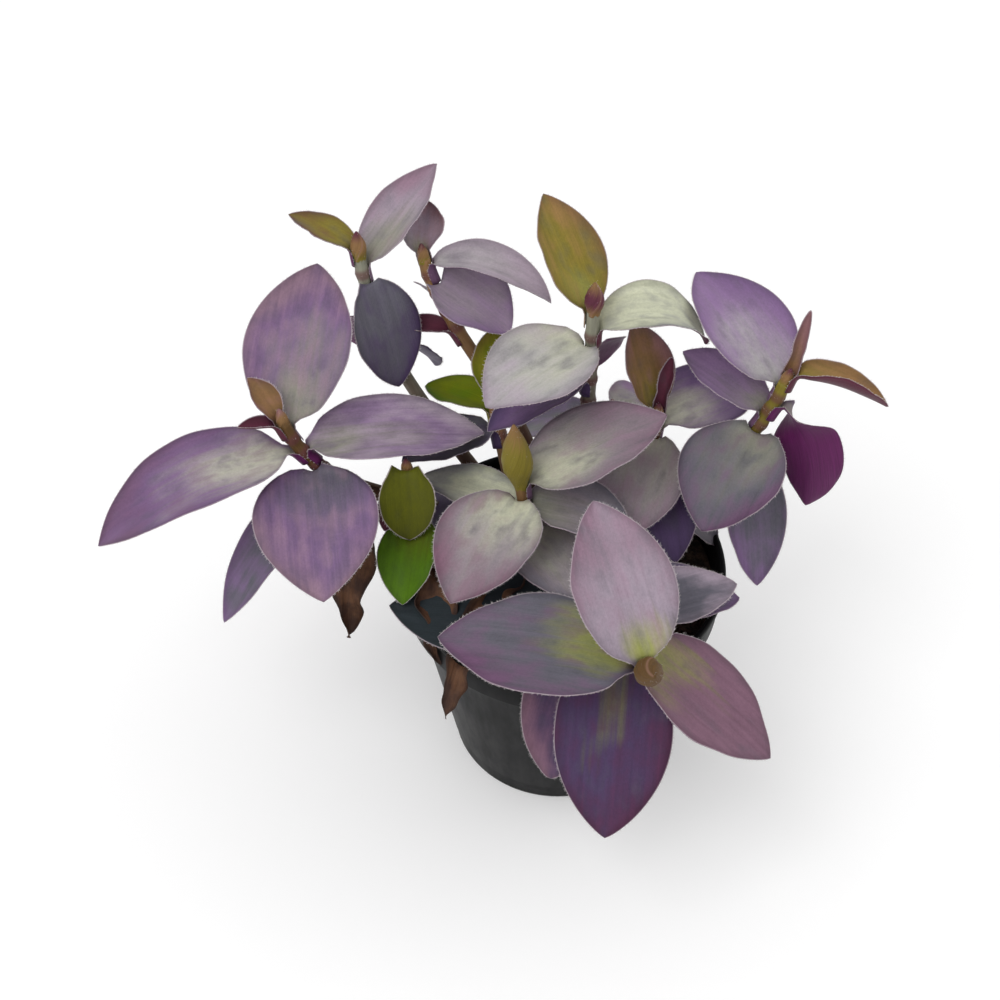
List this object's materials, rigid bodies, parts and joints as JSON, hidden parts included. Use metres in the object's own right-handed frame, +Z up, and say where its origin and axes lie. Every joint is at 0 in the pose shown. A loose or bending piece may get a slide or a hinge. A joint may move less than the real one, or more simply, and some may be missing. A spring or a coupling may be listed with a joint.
{
  "type": "potted tradescantia",
  "caption": "Bushy trailing house plant with broad pointed velvety leaves on jointed stems, rooted in soil in a plain round tapered nursery pot.",
  "frame": {"origin": "centre of the pot's flat underside, which stands on the surface", "axes": "+Z up along the pot's centre line, -Y towards the front of the plant, +X to the right seen from the front"},
  "size_m": [0.2988, 0.2166, 0.2316],
  "materials": {
    "pot_plastic": "satin black moulded plastic",
    "potting_soil": "dark crumbly peat",
    "stem": "olive and red-brown, finely hairy",
    "leaf_violet": "velvety violet",
    "leaf_silver": "velvety silver grey with violet edges",
    "leaf_bronze": "olive bronze, red at the tip",
    "leaf_green": "soft green",
    "leaf_magenta": "deep magenta underside"
  },
  "bodies": {
    "root": {"leaf_a1": "leaf_violet", "leaf_a2": "leaf_violet", "leaf_a3": "leaf_violet", "leaf_a4": "leaf_violet", "leaf_a5": "leaf_bronze", "leaf_a6": "leaf_silver", "leaf_b1": "leaf_violet", "leaf_b2": "leaf_bronze", "leaf_b3": "leaf_silver", "leaf_b5": "leaf_violet", "leaf_c1": "leaf_bronze", "leaf_c2": "leaf_violet", "leaf_c3": "leaf_silver", "leaf_c4": "leaf_violet", "leaf_d1": "leaf_bronze", "leaf_d2": "leaf_silver", "leaf_d3": "leaf_silver", "leaf_d4": "leaf_violet", "leaf_d5": "leaf_violet", "leaf_e1": "leaf_violet", "leaf_e2": "leaf_bronze", "leaf_e4": "leaf_silver", "leaf_e5": "leaf_silver", "leaf_e6": "leaf_magenta", "leaf_e7": "leaf_silver", "leaf_f1": "leaf_violet", "leaf_f2": "leaf_bronze", "leaf_f3": "leaf_violet", "leaf_f4": "leaf_green", "leaf_g1": "leaf_silver", "leaf_g2": "leaf_violet", "leaf_g3": "leaf_silver", "leaf_g4": "leaf_green", "leaf_h1": "leaf_violet", "leaf_h2": "leaf_violet", "leaf_h3": "leaf_violet", "leaf_h4": "leaf_violet", "leaf_h5": "leaf_violet", "leaf_h6": "leaf_silver", "leaf_h7": "leaf_silver", "leaf_i1": "leaf_green", "leaf_i2": "leaf_green", "leaf_j1": "leaf_green", "leaf_j2": "leaf_green", "leaf_k1": "leaf_violet", "leaf_k2": "leaf_silver", "pot": "pot_plastic", "soil": "potting_soil", "stem_a": "stem", "stem_b": "stem", "stem_c": "stem", "stem_d": "stem", "stem_e": "stem", "stem_f": "stem", "stem_g": "stem", "stem_h": "stem", "stem_i": "stem", "stem_j": "stem", "stem_k": "stem"}
  },
  "joints": []
}
